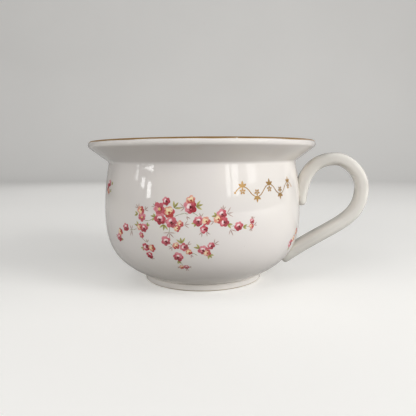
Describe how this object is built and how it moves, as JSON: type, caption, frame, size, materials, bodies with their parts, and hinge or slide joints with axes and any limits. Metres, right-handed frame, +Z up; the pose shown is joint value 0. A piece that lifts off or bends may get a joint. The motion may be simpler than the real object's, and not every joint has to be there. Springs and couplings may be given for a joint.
{
  "type": "chamber pot",
  "caption": "Round-bellied glazed ceramic chamber pot with a flared rolled rim, a low foot ring and a strap ear handle on one side.",
  "frame": {"origin": "centre of the foot ring's resting plane, on the pot's axis", "axes": "+Z up along the pot's axis, +X out through the handle, +Y completes a right-handed frame"},
  "size_m": [0.258, 0.21, 0.1292],
  "materials": {
    "bowl_glaze": "glossy ivory-white glaze",
    "foot_glaze": "glossy ivory-white glaze, wiped bare where the ring meets the table",
    "handle_glaze": "glossy ivory glaze, a little creamier than the bowl",
    "slip_glaze": "clay slip under the same glaze",
    "gilding": "thin worn gold line, fired on the glaze",
    "rose_enamel": "printed rose sprays in pink, cream and olive enamel, fired on the glaze"
  },
  "bodies": {
    "root": {"bowl": "bowl_glaze", "foot_ring": "foot_glaze", "handle": "handle_glaze", "upper_slip_joint": "slip_glaze", "lower_slip_joint": "slip_glaze", "gilt_rim_line": "gilding"}
  },
  "joints": []
}
